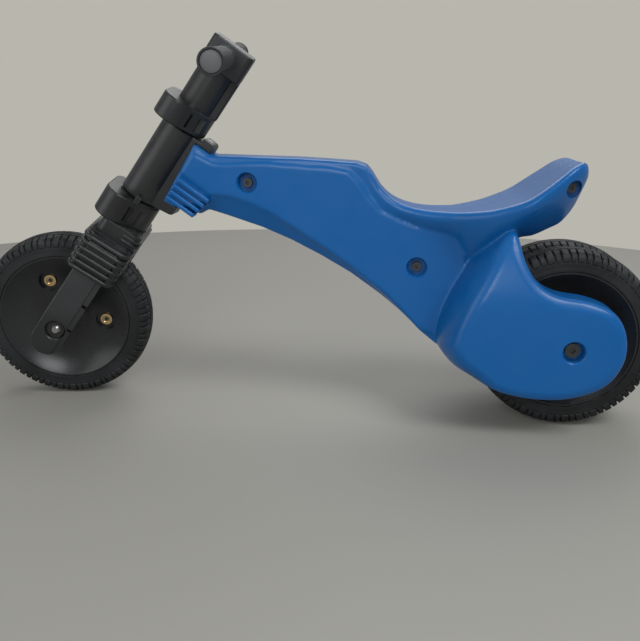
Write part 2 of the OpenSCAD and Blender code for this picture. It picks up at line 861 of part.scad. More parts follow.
module rim_nut() {
    difference() {
        translate([0, 0, rim_well_floor])
            cylinder(r = 8.5, h = 3);
        translate([0, 0, rim_well_floor - eps])
            cylinder(r = rim_bolt_r + gap, h = nut_reach);
    }
}
module rim_bolt() {
    translate([0, 0, -rim_well_floor])
        cylinder(r = rim_bolt_r, h = 2 * rim_well_floor + 2);
    translate([0, 0, -rim_well_floor - 4])
        cylinder(r = 6.5, h = 4);
}
module wheel_piece(piece) {
    if (piece == "tyre") color(RUBBER) tyre();
    if (piece == "rim_plus") color(BLACK) rim_half();
    if (piece == "rim_minus") color(BLACK) mirror([0, 0, 1]) rim_half();
    if (piece == "bushes") color(GREY) bushes();
    if (piece == "bolts") color(STEEL) round_wheel() rim_bolt();
    if (piece == "nuts") color(BRASS) round_wheel() rim_nut();
}

// The front wheel and the left rear wheel show their nuts on the left side
module front_wheel(piece) {
    on_front_axle() mirror([0, 0, 1]) wheel_piece(piece);
}
module rear_left_wheel(piece) {
    on_axle(rear_x, -twin_y) mirror([0, 0, 1]) wheel_piece(piece);
}
module rear_right_wheel(piece) {
    on_axle(rear_x, twin_y) wheel_piece(piece);
}

frame_half_left();
frame_half_right();
head_tube();
head_bush_upper();
head_bush_lower();
lug_screws();
frame_bolts();
frame_nuts();
rear_axle();
rear_axle_nut();
rear_spacers();
rear_centre_washer();
stem();
fork();
steering_spindle();
spindle_bolts();
handlebar();
grip_left();
grip_right();
bar_plug_left();
bar_plug_right();
bar_screw();
front_axle();
front_axle_nut();
front_washers();
front_spacers();
front_wheel("tyre");  // front_tyre
front_wheel("rim_plus");  // front_rim_left
front_wheel("rim_minus");  // front_rim_right
front_wheel("bushes");  // front_bushes
front_wheel("bolts");  // front_rim_bolts
front_wheel("nuts");  // front_rim_nuts
rear_left_wheel("tyre");  // rear_left_tyre
rear_left_wheel("rim_plus");  // rear_left_rim_outer
rear_left_wheel("rim_minus");  // rear_left_rim_inner
rear_left_wheel("bushes");  // rear_left_bushes
rear_left_wheel("bolts");  // rear_left_rim_bolts
rear_left_wheel("nuts");  // rear_left_rim_nuts
rear_right_wheel("tyre");  // rear_right_tyre
rear_right_wheel("rim_plus");  // rear_right_rim_outer
rear_right_wheel("rim_minus");  // rear_right_rim_inner
rear_right_wheel("bushes");  // rear_right_bushes
rear_right_wheel("bolts");  // rear_right_rim_bolts
rear_right_wheel("nuts");  // rear_right_rim_nuts
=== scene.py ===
"""Looks for the balance bike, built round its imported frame."""
import math

import bmesh
import bpy
from bpy.props import FloatProperty, FloatVectorProperty, IntProperty, PointerProperty
from mathutils import Matrix, Vector
from mathutils.geometry import convex_hull_2d


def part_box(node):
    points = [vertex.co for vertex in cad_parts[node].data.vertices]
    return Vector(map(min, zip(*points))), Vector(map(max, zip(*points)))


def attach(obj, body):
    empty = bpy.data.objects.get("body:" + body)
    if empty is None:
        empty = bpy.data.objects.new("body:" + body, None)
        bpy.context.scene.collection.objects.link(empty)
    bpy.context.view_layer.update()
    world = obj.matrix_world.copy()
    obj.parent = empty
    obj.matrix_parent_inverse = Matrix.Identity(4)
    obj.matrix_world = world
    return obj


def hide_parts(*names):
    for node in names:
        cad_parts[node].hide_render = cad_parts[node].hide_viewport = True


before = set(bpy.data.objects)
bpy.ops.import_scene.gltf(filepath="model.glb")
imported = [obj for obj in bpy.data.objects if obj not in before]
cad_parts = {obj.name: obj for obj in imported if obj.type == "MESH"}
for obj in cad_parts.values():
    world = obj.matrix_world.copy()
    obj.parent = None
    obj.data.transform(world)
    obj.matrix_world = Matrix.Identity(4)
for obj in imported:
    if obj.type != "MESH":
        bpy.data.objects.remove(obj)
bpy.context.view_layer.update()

bl_info = {
    "name": "Balance Bike",
    "version": (1, 0, 0),
    "blender": (4, 5, 0),
    "location": "3D View > Sidebar > Bike",
    "description": "Builds the visible parts of a balance bike round its frame",
    "category": "Object",
}

MM = 0.001
TURN = 2 * math.pi
MIRROR = Matrix.Scale(-1, 4, (0, 1, 0))
ALONG_Z = Matrix.Rotation(math.radians(90), 4, "X")
CREASE = 32
BAR_HEIGHT = 412
HEAD_LOW, HEAD_TOP = 200, 307


def box_of(node):
    """Lowest and highest corners of a CAD node, in millimetres."""
    low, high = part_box(node)
    return low / MM, high / MM


TYRE_LOW, TYRE_HIGH = box_of("rear_right_tyre")


class BikeSizes(bpy.types.PropertyGroup):
    """Sizes that shape the visible parts."""

    wheel_radius: FloatProperty(
        name="Wheel radius", description="Radius over the tread",
        default=(TYRE_HIGH.z - TYRE_LOW.z) / 2 * MM, unit="LENGTH")
    tyre_width: FloatProperty(
        name="Tyre width", description="Width over a tyre's sidewalls",
        default=(TYRE_HIGH.y - TYRE_LOW.y) * MM, unit="LENGTH")
    rear_x: FloatProperty(
        name="Rear axle", description="Place of the rear axle along the bike",
        default=(TYRE_HIGH.x + TYRE_LOW.x) / 2 * MM, unit="LENGTH")
    twin_gap: FloatProperty(
        name="Twin gap", description="Space between the two rear tyres",
        default=2 * TYRE_LOW.y * MM, unit="LENGTH")
    steer_tilt: FloatProperty(
        name="Steering tilt", description="How far the steering axis leans back",
        default=math.radians(35.3), unit="ROTATION")
    steer_turn: FloatProperty(
        name="Bars' turn", description="How far the bars are turned to the left at rest",
        default=math.radians(8.9), unit="ROTATION")
    fork_offset: FloatProperty(
        name="Axle offset", description="How far the front axle lies behind the steering axis",
        default=0.0044, unit="LENGTH")
    beam_half: FloatProperty(
        name="Beam half width", description="Half width of the frame's beam",
        default=0.028, unit="LENGTH")
    lobe_half: FloatProperty(
        name="Lobe half width", description="Half width over the rear lobes",
        default=0.1, unit="LENGTH")
    panel_step: FloatProperty(
        name="Panel step", description="How far the side panel stands proud of the top band",
        default=0.0025, unit="LENGTH")
    moulding_cell: FloatProperty(
        name="Moulding cell", description="Grid of the moulded frame's skin",
        default=0.0019, unit="LENGTH")
    head_radius: FloatProperty(
        name="Head tube radius", description="Radius of the head tube",
        default=0.026, unit="LENGTH")
    stem_radius: FloatProperty(
        name="Stem radius", description="Radius of the stem's tube",
        default=0.024, unit="LENGTH")
    bar_half: FloatProperty(
        name="Bar half length", description="Half length of the handlebar with its grips",
        default=0.184, unit="LENGTH")
    grip_length: FloatProperty(
        name="Grip length", description="Length of one grip",
        default=0.118, unit="LENGTH")
    tread_pairs: IntProperty(
        name="Tread pairs", description="Pairs of a long and a short block round each shoulder",
        default=36, min=12, max=60)
    block_height: FloatProperty(
        name="Block height", description="How far the tread blocks stand out",
        default=0.0036, unit="LENGTH")


class BikeColours(bpy.types.PropertyGroup):
    """Colours of the finishes."""

    blue_plastic: FloatVectorProperty(
        name="Frame blue", description="The moulded frame", subtype="COLOR",
        default=(0.0, 0.108, 0.36), min=0, max=1)
    black_plastic: FloatVectorProperty(
        name="Black plastic", description="Fork, stem, head tube and discs", subtype="COLOR",
        default=(0.011, 0.0115, 0.0125), min=0, max=1)
    tyre_rubber: FloatVectorProperty(
        name="Tyre rubber", description="Tyres", subtype="COLOR",
        default=(0.0065, 0.0068, 0.0073), min=0, max=1)
    grip_rubber: FloatVectorProperty(
        name="Grip rubber", description="Grips", subtype="COLOR",
        default=(0.014, 0.014, 0.016), min=0, max=1)
    grey_plastic: FloatVectorProperty(
        name="Grey plastic", description="Plugs, bushes and spacers", subtype="COLOR",
        default=(0.11, 0.115, 0.12), min=0, max=1)
    brass: FloatVectorProperty(
        name="Brass", description="Sleeve nuts of the wheels", subtype="COLOR",
        default=(0.70, 0.50, 0.26), min=0, max=1)
    bolt_steel: FloatVectorProperty(
        name="Bolt steel", description="Bolts, nuts and screws", subtype="COLOR",
        default=(0.42, 0.41, 0.4), min=0, max=1)
    tube_steel: FloatVectorProperty(
        name="Tube steel", description="Handlebar tube and spindle", subtype="COLOR",
        default=(0.5, 0.51, 0.53), min=0, max=1)
    floor: FloatVectorProperty(
        name="Floor", description="The floor the bike stands on", subtype="COLOR",
        default=(0.33, 0.32, 0.29), min=0, max=1)


def mm(name):
    """A size from the panel, in millimetres."""
    return getattr(bpy.context.scene.bike_sizes, name) / MM


# Finishes that share another one's colour, made lighter or darker; the darkened bolt steel is painted shade for
# steel that sits deep in holes
SHADES = {"disc_plastic": ("black_plastic", 0.9), "dark_bolt": ("bolt_steel", 0.14)}


def colour(name):
    if name in SHADES:
        base, share = SHADES[name]
        return tuple(c * share for c in colour(base)[:3]) + (1.0,)
    return tuple(getattr(bpy.context.scene.bike_colours, name)) + (1.0,)


# ---- Mesh helpers: every shape is drawn in millimetres ----

def everything(bm):
    return bm.verts[:] + bm.edges[:] + bm.faces[:]


def sharp_edges(bm, angle):
    limit = math.radians(angle)
    return [e for e in bm.edges if len(e.link_faces) == 2 and e.calc_face_angle(0) > limit]


def sliced(bm, levels):
    """Adds a loop of edges at each height."""
    for z in levels:
        bmesh.ops.bisect_plane(bm, geom=everything(bm), plane_co=(0, 0, z), plane_no=(0, 0, 1))


def bevelled(bm, width, segments=2, edges=None, angle=30):
    """Rounds the sharp edges, or the ones given."""
    bmesh.ops.recalc_face_normals(bm, faces=bm.faces)
    bmesh.ops.bevel(
        bm, geom=edges if edges is not None else sharp_edges(bm, angle), affect="EDGES",
        offset=width, offset_type="OFFSET", segments=segments, profile=0.5,
        material=-1, clamp_overlap=True)
    return bm


def prism(outline, at, along):
    """A plate: at(u, v) puts an outline point in space, and along is its thickness."""
    bm = bmesh.new()
    face = bm.faces.new([bm.verts.new(at(u, v)) for u, v in outline])
    grown = bmesh.ops.extrude_face_region(bm, geom=[face], use_keep_orig=True)["geom"]
    bmesh.ops.translate(bm, vec=along, verts=[g for g in grown if isinstance(g, bmesh.types.BMVert)])
    bmesh.ops.recalc_face_normals(bm, faces=bm.faces)
    return bm


def upright(outline, low, high):
    """A plate drawn from above, between two heights."""
    return prism(outline, lambda u, v: (u, v, low), (0, 0, high - low))


def sideways(outline, y0, y1):
    """A plate drawn on the side view, between two widths."""
    return prism(outline, lambda u, v: (u, y0, v), (0, y1 - y0, 0))


def block(low, high, corner=0.0, edge=0.0, segments=4):
    """A box whose upright corners and then other edges are rounded."""
    bm = bmesh.new()
    bmesh.ops.create_cube(bm, size=1)
    low, high = Vector(low), Vector(high)
    size = high - low
    bmesh.ops.scale(bm, vec=size, verts=bm.verts)
    bmesh.ops.translate(bm, vec=(low + high) / 2, verts=bm.verts)
    if corner:
        tall = [e for e in bm.edges if abs(e.verts[0].co.z - e.verts[1].co.z) > size.z / 2]
        bevelled(bm, corner, segments, tall)
    if edge:
        bevelled(bm, edge, 3, angle=50)
    return bm


def turned(profile, steps=96, closed=False, centre=(0, 0)):
    """A shape turned on an axis across the bike; the profile holds radius and width."""
    bm = bmesh.new()
    verts = [bm.verts.new((r, y, 0)) for r, y in profile]
    pairs = list(zip(verts, verts[1:])) + ([(verts[-1], verts[0])] if closed else [])
    edges = [bm.edges.new(pair) for pair in pairs]
    bmesh.ops.spin(
        bm, geom=verts + edges, cent=(0, 0, 0), axis=(0, 1, 0), dvec=(0, 0, 0),
        angle=TURN, steps=steps, use_merge=True)
    bmesh.ops.remove_doubles(bm, verts=bm.verts, dist=0.0005)
    bmesh.ops.translate(bm, vec=(centre[0], 0, centre[1]), verts=bm.verts)
    bmesh.ops.recalc_face_normals(bm, faces=bm.faces)
    return bm


def rod(radius, y0, y1, steps, centre=(0, 0)):
    """A plain round bar across the bike."""
    return turned([(0, y0), (radius, y0), (radius, y1), (0, y1)], steps, centre=centre)


def lofted(rings):
    """A closed skin through rings with the same count of points."""
    bm = bmesh.new()
    loops = []
    for ring in rings:
        verts = [bm.verts.new(p) for p in ring]
        loops.append([bm.edges.new(pair) for pair in zip(verts, verts[1:] + verts[:1])])
    for first, second in zip(loops, loops[1:]):
        bmesh.ops.bridge_loops(bm, edges=first + second)
    for loop in (loops[0], loops[-1]):
        bmesh.ops.contextual_create(bm, geom=loop)
    bmesh.ops.recalc_face_normals(bm, faces=bm.faces)
    return bm


def joined(*parts):
    """Several shapes in one mesh."""
    whole = bmesh.new()
    for part in parts:
        mesh = bpy.data.meshes.new("part")
        part.to_mesh(mesh)
        part.free()
        whole.from_mesh(mesh)
        bpy.data.meshes.remove(mesh)
    return whole


def moved(bm, place):
    bmesh.ops.transform(bm, matrix=place, verts=bm.verts)
    return bm


def copy_of(bm, place=None):
    twin = bm.copy()
    return moved(twin, place) if place else twin


def as_object(bm, name):
    mesh = bpy.data.meshes.new(name)
    bm.to_mesh(mesh)
    bm.free()
    obj = bpy.data.objects.new(name, mesh)
    bpy.context.scene.collection.objects.link(obj)
    return obj


def modified(bm, *steps):
    """The mesh after modifiers; each step is a kind and its settings."""
    obj = as_object(bm, "work")
    for kind, settings in steps:
        modifier = obj.modifiers.new(kind, kind)
        for key, value in settings.items():
            setattr(modifier, key, value)
    done = obj.evaluated_get(bpy.context.evaluated_depsgraph_get())
    result = bmesh.new()
    result.from_mesh(done.to_mesh())
    done.to_mesh_clear()
    mesh = obj.data
    bpy.data.objects.remove(obj)
    bpy.data.meshes.remove(mesh)
    return result


def cut(bm, *tools):
    """The shape less the tools."""
    for tool in tools:
        bmesh.ops.recalc_face_normals(tool, faces=tool.faces)
    cutter = as_object(joined(*tools), "cutter")
    bmesh.ops.recalc_face_normals(bm, faces=bm.faces)
    settings = {"operation": "DIFFERENCE", "solver": "EXACT", "use_self": True, "object": cutter}
    result = modified(bm, ("BOOLEAN", settings))
    mesh = cutter.data
    bpy.data.objects.remove(cutter)
    bpy.data.meshes.remove(mesh)
    if not result.faces:
        raise RuntimeError("a cut left nothing")
    return result


def finished(name, bm, body, slot, stands_for, place=None, crease=CREASE, look=None):
    """Turns a shape into a piece of the bike, in metres, riding on its body."""
    if place is not None:
        moved(bm, place)
    bmesh.ops.scale(bm, vec=(MM, MM, MM), verts=bm.verts)
    bmesh.ops.remove_doubles(bm, verts=bm.verts, dist=1e-6)
    bmesh.ops.recalc_face_normals(bm, faces=bm.faces)
    obj = as_object(bm, name)
    obj.data.polygons.foreach_set("use_smooth", [True] * len(obj.data.polygons))
    obj.data.set_sharp_from_angle(angle=math.radians(crease))
    obj.data.materials.append(finish(look or slot))
    if crease == CREASE:
        even = obj.modifiers.new("even shading", "WEIGHTED_NORMAL")
        even.keep_sharp = True
    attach(obj, body)
    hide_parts(*stands_for)
    return obj


def curve(points, steps, closed=False):
    """A smooth line through points of any number of values."""
    count = len(points)

    def at(i):
        return points[i % count] if closed else points[min(max(i, 0), count - 1)]

    made = []
    for i in range(count if closed else count - 1):
        a, b, c, d = at(i - 1), at(i), at(i + 1), at(i + 2)
        for k in range(steps):
            u = k / steps
            made.append(tuple(
                ((2 * q) + (r - p) * u + (2 * p - 5 * q + 4 * r - s) * u * u
                 + (3 * q - p - 3 * r + s) * u ** 3) / 2
                for p, q, r, s in zip(a, b, c, d)))
    return made if closed else made + [tuple(points[-1])]


def round_box(x0, x1, y0, y1, radius, steps=6):
    points = []
    for x, y, start in ((x1 - radius, y1 - radius, 0), (x0 + radius, y1 - radius, 90),
                        (x0 + radius, y0 + radius, 180), (x1 - radius, y0 + radius, 270)):
        for k in range(steps + 1):
            a = math.radians(start + 90 * k / steps)
            points.append((x + radius * math.cos(a), y + radius * math.sin(a)))
    return points


def round_hull(circles, steps=40):
    """The line stretched round several circles of x, y and radius."""
    points = [(x + r * math.cos(TURN * k / steps), y + r * math.sin(TURN * k / steps))
              for x, y, r in circles for k in range(steps)]
    return [points[i] for i in convex_hull_2d(points)]


def steering(turn=False):
    """Where the steering axis starts: x behind it, y to the right, z up along it."""
    sizes = bpy.context.scene.bike_sizes
    tilt, offset = sizes.steer_tilt, mm("fork_offset")
    foot = (-mm("rear_x") - offset * math.cos(tilt), 0, mm("wheel_radius") + offset * math.sin(tilt))
    place = Matrix.Translation(foot) @ Matrix.Rotation(tilt, 4, "Y")
    return place @ Matrix.Rotation(sizes.steer_turn, 4, "Z") if turn else place


def rear_axle(y=0):
    return Matrix.Translation((mm("rear_x"), y, mm("wheel_radius")))


# ---- Finishes ----

class Nodes:
    """A small hand for building one node tree."""

    def __init__(self, tree):
        self.tree = tree

    def add(self, kind, out=0, settings=(), **inputs):
        made = self.tree.nodes.new(kind)
        for key, value in dict(settings).items():
            setattr(made, key, value)
        for key, value in inputs.items():
            numbered = key[0] == "i" and key[1:].isdigit()
            self.feed(made.inputs[int(key[1:]) if numbered else key.replace("_", " ")], value)
        return made.outputs[out]

    def feed(self, socket, value):
        """Links a socket to another one, or sets its value."""
        if isinstance(value, bpy.types.NodeSocket):
            self.tree.links.new(value, socket)
        else:
            socket.default_value = value

    def maths(self, operation, a, b=0.0, clamp=False):
        settings = {"operation": operation, "use_clamp": clamp}
        return self.add("ShaderNodeMath", settings=settings, i0=a, i1=b)

    def mixed(self, factor, a, b):
        """Blends two colours."""
        made = self.tree.nodes.new("ShaderNodeMix")
        made.data_type = "RGBA"
        for index, value in ((0, factor), (6, a), (7, b)):
            self.feed(made.inputs[index], value)
        return made.outputs[2]

    def ranged(self, value, low, high, to_low=0.0, to_high=1.0):
        return self.add("ShaderNodeMapRange", Value=value, From_Min=low, From_Max=high,
                        To_Min=to_low, To_Max=to_high)

    def place(self):
        return self.add("ShaderNodeTexCoord", out=3)

    def noise(self, scale, detail=2.0, rough=0.5, vector=None):
        return self.add("ShaderNodeTexNoise", Vector=vector or self.place(), Scale=scale,
                        Detail=detail, Roughness=rough)


def effect(name, inputs, outputs, build):
    """A shader node group, built once and used by several finishes."""
    if name in bpy.data.node_groups:
        return bpy.data.node_groups[name]
    tree = bpy.data.node_groups.new(name, "ShaderNodeTree")
    for label, kind, value in inputs:
        tree.interface.new_socket(label, in_out="INPUT", socket_type=kind).default_value = value
    for label, kind in outputs:
        tree.interface.new_socket(label, in_out="OUTPUT", socket_type=kind)
    start, end = tree.nodes.new("NodeGroupInput"), tree.nodes.new("NodeGroupOutput")
    for socket, value in zip(end.inputs, build(Nodes(tree), start.outputs)):
        tree.links.new(value, socket)
    return tree


FLOAT, TINT = "NodeSocketFloat", "NodeSocketColor"


def grain_effect():
    """Fine moulding grain over slow ripples."""
    def build(n, given):
        fine = n.noise(given["Grain"], 3, 0.6)
        slow = n.noise(given["Ripple"], 1, 0.4)
        slow = n.maths("MULTIPLY", slow, given["Ripple height"])
        return [n.maths("ADD", n.maths("MULTIPLY", fine, 0.35), slow)]
    inputs = [("Grain", FLOAT, 1500.0), ("Ripple", FLOAT, 30.0), ("Ripple height", FLOAT, 1.0)]
    return effect("Moulding grain", inputs, [("Height", FLOAT)], build)


def drift_effect():
    """A colour that drifts a little over the surface."""
    def build(n, given):
        slow = n.ranged(n.noise(given["Scale"], 4, 0.6), 0.3, 0.7)
        dark = n.mixed(given["Amount"], given["Colour"], (0.0, 0.0, 0.0, 1.0))
        light = n.mixed(given["Amount"], given["Colour"], (0.45, 0.48, 0.52, 1.0))
        return [n.mixed(slow, dark, n.mixed(0.5, given["Colour"], light))]
    inputs = [("Colour", TINT, (0.5, 0.5, 0.5, 1.0)), ("Scale", FLOAT, 12.0), ("Amount", FLOAT, 0.05)]
    return effect("Colour drift", inputs, [("Colour", TINT)], build)


def dust_effect():
    """Dust that settles on faces that look up."""
    def build(n, given):
        up = n.add("ShaderNodeSeparateXYZ", out=2, Vector=n.add("ShaderNodeNewGeometry", out=1))
        patch = n.ranged(n.noise(given["Scale"], 5, 0.65), 0.42, 0.72)
        settled = n.maths("MULTIPLY", n.ranged(up, 0.1, 0.95), patch)
        return [n.maths("MULTIPLY", settled, given["Amount"], clamp=True)]
    return effect("Dust", [("Scale", FLOAT, 60.0), ("Amount", FLOAT, 0.3)], [("Mask", FLOAT)], build)


def scuff_effect():
    """Short fine scratches from handling."""
    def build(n, given):
        spread = n.add("ShaderNodeMapping", Vector=n.place(), Scale=(0.35, 1.0, 3.2),
                       Rotation=(0.3, 0.5, 0.2))
        lines = n.ranged(n.noise(given["Scale"], 4, 0.7, spread), 0.62, 0.7)
        areas = n.ranged(n.noise(7.0, 2, 0.5), 0.5, 0.7)
        return [n.maths("MULTIPLY", n.maths("MULTIPLY", lines, areas), given["Amount"], clamp=True)]
    return effect("Scuffs", [("Scale", FLOAT, 90.0), ("Amount", FLOAT, 0.4)], [("Mask", FLOAT)], build)


# Roughness, its spread, grain and ripple scales, ripple share, bump depth in mm, drift, dust, scuffs, metal
FINISHES = {
    "blue_plastic": (0.29, 0.10, 1300.0, 24.0, 1.4, 0.10, 0.03, 0.05, 0.18, 0.0),
    "black_plastic": (0.36, 0.12, 1500.0, 34.0, 1.0, 0.08, 0.04, 0.22, 0.45, 0.0),
    "disc_plastic": (0.27, 0.10, 1600.0, 20.0, 0.8, 0.05, 0.04, 0.14, 0.35, 0.0),
    # Bolt steel darkened as painted shade, for steel deep in holes
    "dark_bolt": (0.46, 0.16, 2000.0, 120.0, 0.6, 0.06, 0.15, 0.15, 0.30, 0.7),
    "tyre_rubber": (0.60, 0.12, 900.0, 90.0, 0.6, 0.16, 0.08, 0.22, 0.15, 0.0),
    "grip_rubber": (0.58, 0.10, 1100.0, 60.0, 0.5, 0.12, 0.06, 0.15, 0.15, 0.0),
    "grey_plastic": (0.48, 0.10, 1400.0, 50.0, 0.6, 0.06, 0.06, 0.15, 0.30, 0.0),
    "brass": (0.30, 0.14, 2200.0, 160.0, 0.6, 0.04, 0.12, 0.10, 0.50, 1.0),
    "bolt_steel": (0.36, 0.16, 2200.0, 160.0, 0.6, 0.04, 0.12, 0.10, 0.50, 1.0),
    "tube_steel": (0.26, 0.10, 2600.0, 120.0, 0.4, 0.03, 0.06, 0.05, 0.40, 1.0),
}
DUST = (0.30, 0.30, 0.29, 1.0)
SHEEN = {"blue_plastic": 0.34, "tyre_rubber": 0.3}


def finish(slot):
    """The procedural material for a slot, made once."""
    name = "finish_" + slot
    if name in bpy.data.materials:
        return bpy.data.materials[name]
    rough, spread, grain, ripple, share, depth, drift, dust, scuffs, metal = FINISHES[slot]
    material = bpy.data.materials.new(name)
    material.use_nodes = True
    tree = material.node_tree
    shader = tree.nodes["Principled BSDF"]
    n = Nodes(tree)

    def use(group, out=0, **inputs):
        return n.add("ShaderNodeGroup", out=out, settings={"node_tree": group}, **inputs)

    base = use(drift_effect(), Colour=colour(slot), Scale=14.0, Amount=drift)
    dusty = use(dust_effect(), Scale=70.0, Amount=dust)
    scuffed = use(scuff_effect(), Scale=110.0, Amount=scuffs)
    worn = tuple(min(1.0, c * 1.5 + 0.03) for c in colour(slot)[:3]) + (1.0,)
    tint = n.mixed(dusty, n.mixed(scuffed, base, worn), DUST)
    cloud = n.maths("MULTIPLY", n.maths("SUBTRACT", n.noise(20.0, 3, 0.6), 0.5), spread)
    marks = n.maths("ADD", n.maths("MULTIPLY", dusty, 0.3), n.maths("MULTIPLY", scuffed, 0.18))
    roughness = n.maths("ADD", n.maths("ADD", cloud, rough), marks, clamp=True)
    height = n.maths("SUBTRACT", use(grain_effect(), Grain=grain, Ripple=ripple, Ripple_height=share),
                     n.maths("MULTIPLY", scuffed, 0.4))
    bump = n.add("ShaderNodeBump", Height=height, Strength=0.6, Distance=depth * MM)
    for socket, value in (("Base Color", tint), ("Roughness", roughness), ("Normal", bump)):
        tree.links.new(value, shader.inputs[socket])
    shader.inputs["Metallic"].default_value = metal
    shader.inputs["IOR"].default_value = 1.5
    shader.inputs["Specular IOR Level"].default_value = SHEEN.get(slot, 0.5)
    return material


# ---- Frame halves ----

def on_steer(s, t):
    """A point on the side view from the steering axis, in rear axle coordinates."""
    p = steering() @ Vector((t, 0, s))
    return (p.x - mm("rear_x"), p.z - mm("wheel_radius"))


def side_edge(point, shift):
    return (point[0] + shift[0], point[1] + shift[1])


def beam_outline():
    """The beam's outline with, for each point, where its side face ends."""
    top = [on_steer(302, 28), on_steer(302, 52), on_steer(313, 68), (-340, 217), (-300, 215), (-268, 213)]
    pommel = [(-256, 209), (-249, 201), (-240, 187), (-224, 160)]
    rear = [(-150, 140), (-92, 136), (-92, 60), (-110, -24)]
    under = [((-150, -24), (0, 0)), ((-162, -16), (0, 0)), ((-179, -3), (0, 1)), ((-207, 22), (1, 3)),
             ((-233, 43), (3, 6)), ((-273, 71), (6, 10)), ((-312, 93), (8, 13)), ((-350, 112), (8, 17)),
             ((-389, 128), (9, 21)), (on_steer(250, 110), (8, 24)), (on_steer(242, 87), (5, 20)),
             (on_steer(231, 82), (5, 14)), (on_steer(218, 50), (2, 3)), (on_steer(218, 34), (1, 1))]
    return [(p, p) for p in top + pommel + rear] + [(p, side_edge(p, d)) for p, d in under]


def beam_body():
    half = mm("beam_half") - mm("panel_step")
    rings = []
    for y, lean, drop in ((-6, 0, 0), (half - 13, 0, 0), (half - 6, 0.55, 0), (half - 1.6, 0.92, 0.2),
                          (half, 1.0, 1.6)):
        ring = []
        for base, side in beam_outline():
            x = base[0] + (side[0] - base[0]) * lean
            z = base[1] + (side[1] - base[1]) * lean - (drop if base[1] > 150 else 0)
            ring.append((x, y, z))
        rings.append(ring)
    return lofted(rings)


def side_panel():
    """The raised panel on the beam's side, which ends in a round corner under the seat."""
    upper = [on_steer(293, 34), on_steer(297, 60), (-440, 209), (-413, 210), (-388, 211), (-337, 208),
             (-300, 206), (-277, 202), (-264, 190), (-252, 172), (-236, 154), (-211, 143), (-193, 136),
             (-168, 129), (-149, 126), (-137, 119), (-128, 104), (-126, 87), (-134, 70)]
    lower = [(-150, 28), (-158, -6), (-181, 0), (-205, 26), (-228, 48), (-253, 66), (-273, 82),
             (-299, 100), (-325, 116), (-350, 132), (-376, 148), (-401, 160), (-427, 168), (-450, 171),
             on_steer(262, 84), on_steer(262, 34)]
    half = mm("beam_half")
    return bevelled(sideways(upper + lower, half - 12, half), 1.3, 2, angle=50)


# Lobe outline from the rear axle: x and z beside the beam, then x and z at the outer face
LOBE = [
    (-159, -10, -152, -4), (-149, -26, -144, -22), (-133, -38, -131, -35), (-108, -48, -108, -48),
    (-83, -57, -83, -57), (-45, -64, -45, -64), (0, -62, 0, -62), (41, -45, 41, -45), (61, -13, 61, -13),
    (60, 22, 60, 22), (44, 48, 44, 48), (14, 61, 14, 61), (-23, 67, -23, 67), (-48, 82, -47, 81),
    (-63, 108, -62, 105), (-70, 138, -72, 134), (-84, 142, -82, 136), (-100, 124, -96, 119),
    (-118, 99, -112, 96), (-133, 74, -126, 72), (-146, 48, -138, 46), (-156, 19, -148, 18),
]


LEAN_FROM, LEAN_HEIGHT, LEAN_DEPTH = 40, 100, 30
TAPER = 44


def lean_in(bm):
    """The lobe narrows smoothly towards the seat above its shoulder."""
    inner, half = mm("beam_half"), mm("lobe_half")
    sliced(bm, range(LEAN_FROM, LEAN_FROM + LEAN_HEIGHT, 6))
    for v in bm.verts:
        if v.co.z > LEAN_FROM:
            rise = (v.co.z - LEAN_FROM) / LEAN_HEIGHT
            v.co.y -= LEAN_DEPTH * rise ** 2 * max(v.co.y - inner, 0) / (half - inner)
    return bm


def lobe_body():
    """The lobe: softly rounded where it leads and crisper round the wheel."""
    half, inner = mm("lobe_half"), mm("beam_half")
    line = curve(LOBE, 4, closed=True)
    levels = [inner - 5] + [inner + k * (half - TAPER - inner) / 3 for k in range(3)]
    angles = (0, 12, 22, 31, 39, 46, 53, 60, 66, 72, 77, 82, 86, 90)
    levels += [half - TAPER * math.cos(math.radians(a)) for a in angles]
    rings = []
    for y in levels:
        u = min(max((y - inner) / (half - inner), 0), 1)
        ramp = u * u * (3 - 2 * u)
        flat = [Vector((x0 + (x1 - x0) * ramp, z0 + (z1 - z0) * ramp)) for x0, z0, x1, z1 in line]
        ring = []
        for i, p in enumerate(flat):
            lead = min(max((-80 - p.x) / 45, 0), 1)
            lead *= lead * (3 - 2 * lead)
            depth, width = 11 + 33 * lead, 10 + 9 * lead
            into = max(y - (half - depth), 0) / depth
            along = (flat[(i + 1) % len(flat)] - flat[i - 1]).normalized()
            q = p + Vector((-along.y, along.x)) * width * (1 - math.sqrt(max(1 - into * into, 0)))
            ring.append((q.x, y, q.y))
        rings.append(ring)
    return lean_in(lofted(rings))


# Seat stations from the rear axle: x, half width, height of the rim, height of the underside
SEAT = [
    (-266, 24, 211, 150), (-256, 25, 206, 150), (-247, 26, 196, 149), (-238, 27, 184, 148), (-224, 29, 171, 146),
    (-205, 31, 162, 141), (-180, 35, 157, 131), (-152, 41, 156, 124), (-139, 47, 156.5, 116), (-127, 54, 158, 98),
    (-112, 62, 160.5, 90), (-97, 69, 164, 96), (-67, 79, 175, 122), (-47, 79.5, 188, 127), (-27, 73, 203, 137),
    (-16, 68, 211.5, 143), (-8, 63, 216, 152), (-1, 57, 218.5, 163), (4, 51, 218, 175), (8, 43, 215, 186),
    (11, 32, 209, 197),
]


def seat_body():
    rings = []
    for x, half, top, low in curve(SEAT, 3):
        foot = min(mm("beam_half") - mm("panel_step"), half - 1)
        rim, drop = min(9, (top - low) * 0.6), top - low
        section = [(-6, low), (foot * 0.9, low)]
        for k in range(7):
            u = k / 6
            section.append((foot + (half - foot) * (1 - (1 - u) ** 1.6), low + 1 + (drop - rim - 1) * u))
        section += [(half - 0.3, top - rim * 0.6), (half - 1.8, top - rim * 0.28), (half - 4.6, top - 0.6)]
        section += [(half - 9, top), (half * 0.55, top - 0.5), (-6, top - 0.8)]
        rings.append([(x, y, z) for y, z in section])
    return lofted(rings)


